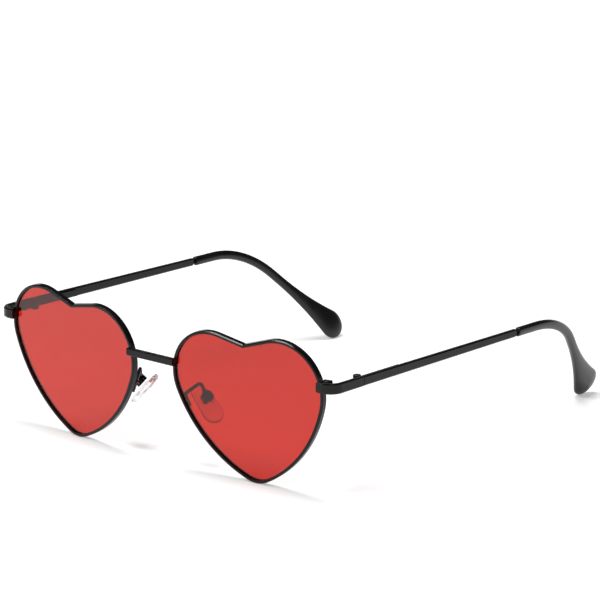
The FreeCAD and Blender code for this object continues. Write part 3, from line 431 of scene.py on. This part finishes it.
def tip_stations():
    """Places along the tip, its angle there and the halves of its height and thickness."""
    half_tall = TIP_TALL / 2
    half_thick = TIP_THICKNESS / 2
    ear_start = TIP_START + SLEEVE_LENGTH
    stations = []
    for back, share in MOUTH_ROUNDING:
        place = Vector((0, TIP_START + back, 0))
        stations.append((place, 0, half_tall * share, half_thick * share))
    for step in range(1, SLEEVE_STEPS):
        place = Vector((0, TIP_START + SLEEVE_LENGTH * step / SLEEVE_STEPS, 0))
        stations.append((place, 0, half_tall, half_thick))
    for step in range(EAR_STEPS + 1):
        angle = EAR_ANGLE * step / EAR_STEPS
        place = Vector((0, ear_start + EAR_RADIUS * math.sin(angle),
                        EAR_RADIUS * (math.cos(angle) - 1)))
        stations.append((place, angle, half_tall, half_thick))
    start = stations[-1][0]
    ahead = Vector((0, math.cos(EAR_ANGLE), -math.sin(EAR_ANGLE)))
    neck = PADDLE_RUN * PADDLE_NECK_SHARE
    flare_length = PADDLE_RUN - neck
    growth = PADDLE_RADIUS - half_tall
    flare = (flare_length ** 2 - PADDLE_RADIUS ** 2 + half_tall ** 2) / (2 * growth)
    swing = math.asin(flare_length / (flare + PADDLE_RADIUS))
    for step in range(1, FLARE_STEPS + 1):
        along = flare * math.sin(swing) * step / FLARE_STEPS
        tall = half_tall + flare - math.sqrt(flare ** 2 - along ** 2)
        stations.append((start + ahead * (neck + along), EAR_ANGLE, tall, swollen(tall)))
    for step in range(1, PADDLE_END_STEPS + 1):
        turn = (math.pi / 2 + swing) * (1 - step / PADDLE_END_SPREAD)
        along = PADDLE_RADIUS * math.cos(turn)
        tall = PADDLE_RADIUS * math.sin(turn)
        share = max(along / PADDLE_RADIUS, 0)
        thick = swollen(PADDLE_RADIUS if along > 0 else tall)
        thick *= (1 - share ** PADDLE_END_POWER) ** (1 / PADDLE_END_POWER)
        stations.append((start + ahead * (PADDLE_RUN + along), EAR_ANGLE, tall, thick))
    return stations


def section(mesh, station, power):
    """One ring of a tip, between an oval and a rounded box."""
    place, angle, tall, thick = station
    up = Vector((0, math.sin(angle), math.cos(angle)))
    ring = []
    for step in range(TIP_RING_POINTS):
        turn = 2 * math.pi * step / TIP_RING_POINTS
        across, rise = math.cos(turn), math.sin(turn)
        reach = (abs(across) ** power + abs(rise) ** power) ** (-1 / power)
        sideways = Vector((thick * across * reach, 0, 0))
        ring.append(mesh.verts.new(place + sideways + up * (tall * rise * reach)))
    return ring


def make_tip(side):
    stations = tip_stations()
    mesh = bmesh.new()
    mouth = stations[0][0]
    bottom = mouth + Vector((0, BORE_DEPTH, 0))
    loops = [section(mesh, (place, 0, TIP_BORE, TIP_BORE), BORE_POWER) for place in (bottom, mouth)]
    for station in stations:
        flat = min(max(paddle_share(station[2]), 0), 1)
        power = SLEEVE_POWER + (PADDLE_POWER - SLEEVE_POWER) * flat
        loops.append(section(mesh, station, power))
    skin(mesh, loops)
    mesh.faces.new(loops[0])
    mesh.faces.new(loops[-1])
    turn = (Matrix.Rotation(math.radians(TEMPLE_TOE_IN), 4, "Z")
            @ Matrix.Rotation(math.radians(-TEMPLE_DROOP), 4, "X"))
    tilt = (Matrix.Translation((BAR_OFFSET, 0, 0))
            @ Matrix.Rotation(math.radians(EAR_TILT), 4, "Y"))
    hinge_place = Matrix.Translation((HINGE_X, FRONT_Y + HINGE_BACK, TEMPLE_HEIGHT))
    tip = finish_piece(mesh, hinge_place @ turn @ tilt, f"moulded_tip_{side}", side, tip_black)
    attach(tip, f"temple_{side}")
    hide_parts(f"temple_tip_{side}")


for side in SIDES:
    make_pad(side)
    make_tip(side)


# Floor, room, lamps and camera


def make_floor():
    mesh = bpy.data.meshes.new("floor")
    corners = [(-FLOOR_HALF, -FLOOR_HALF, 0), (FLOOR_HALF, -FLOOR_HALF, 0),
               (FLOOR_HALF, FLOOR_HALF, 0), (-FLOOR_HALF, FLOOR_HALF, 0)]
    mesh.from_pydata(corners, [], [(0, 1, 2, 3)])
    floor = bpy.data.objects.new("floor", mesh)
    scene.collection.objects.link(floor)
    material, tree, bsdf = new_material("pale_floor")
    bsdf.inputs["Base Color"].default_value = FLOOR_COLOUR
    bsdf.inputs["Roughness"].default_value = 0.9
    bsdf.inputs["Specular IOR Level"].default_value = 0.0
    bsdf.inputs["Emission Color"].default_value = (1, 1, 1, 1)
    place = tree.nodes.new("ShaderNodeTexCoord")
    distance = tree.nodes.new("ShaderNodeVectorMath")
    distance.operation = "LENGTH"
    tree.links.new(place.outputs["Object"], distance.inputs[0])
    glow = ranged(tree, distance.outputs["Value"], FLOOR_LIFT_NEAR, FLOOR_LIFT_FAR,
                  FLOOR_NEAR, FLOOR_FAR)
    lift = tree.nodes.new("ShaderNodeMath")
    lift.operation = "MULTIPLY"
    tree.links.new(seen_by(tree, "Is Camera Ray", "Is Glossy Ray", "Is Transmission Ray"),
                   lift.inputs[0])
    tree.links.new(glow, lift.inputs[1])
    tree.links.new(lift.outputs["Value"], bsdf.inputs["Emission Strength"])
    mesh.materials.append(material)


def make_world():
    world = bpy.data.worlds.new("studio")
    world.use_nodes = True
    scene.world = world
    tree = world.node_tree
    background = tree.nodes["Background"]
    background.inputs["Color"].default_value = (1, 1, 1, 1)
    room = ranged(tree, height_of(tree, "Generated"), ROOM_WHITE, ROOM_DARK, ROOM_LOW, ROOM_HIGH)
    strength = mixed(tree, seen_by(tree, "Is Glossy Ray"), AMBIENT, room)
    seen = seen_by(tree, "Is Camera Ray", "Is Transmission Ray")
    tree.links.new(mixed(tree, seen, strength, ROOM_WHITE), background.inputs["Strength"])


def make_lamp(name, place, target, along, width, height, power):
    """Soft box that faces the target, with its width along a direction."""
    light = bpy.data.lights.new(name, "AREA")
    light.shape = "RECTANGLE"
    light.size = width
    light.size_y = height
    light.energy = power
    lamp = bpy.data.objects.new(name, light)
    scene.collection.objects.link(lamp)
    back = (Vector(place) - Vector(target)).normalized()
    across = (Vector(along) - back * back.dot(Vector(along))).normalized()
    turn = Matrix((across, back.cross(across), back)).transposed().to_4x4()
    lamp.matrix_world = Matrix.Translation(place) @ turn


def make_camera():
    azimuth = math.radians(VIEW_AZIMUTH)
    elevation = math.radians(VIEW_ELEVATION)
    right = Vector((math.cos(azimuth), math.sin(azimuth), 0))
    ahead = Vector((-math.sin(azimuth) * math.cos(elevation),
                    math.cos(azimuth) * math.cos(elevation), -math.sin(elevation)))
    up = right.cross(ahead)
    data = bpy.data.cameras.new("photo_view")
    data.sensor_width = SENSOR_MM
    data.lens = PIXELS_PER_MM * VIEW_DISTANCE * SENSOR_MM / IMAGE_PIXELS
    data.clip_start = CLIP_NEAR
    data.clip_end = CLIP_FAR
    camera = bpy.data.objects.new("photo_view", data)
    scene.collection.objects.link(camera)
    turn = Matrix((right, up, -ahead)).transposed().to_4x4()
    front = Vector((0, FRONT_Y, FRONT_HEIGHT))
    place = (front + right * VIEW_RIGHT + up * VIEW_UP - ahead * VIEW_DISTANCE) * MM
    camera.matrix_world = Matrix.Translation(place) @ turn
    scene.camera = camera


make_floor()
make_world()
make_lamp("key", **KEY_LAMP)
make_lamp("top_light", **TOP_LAMP)
make_camera()
scene.view_settings.view_transform = "Standard"
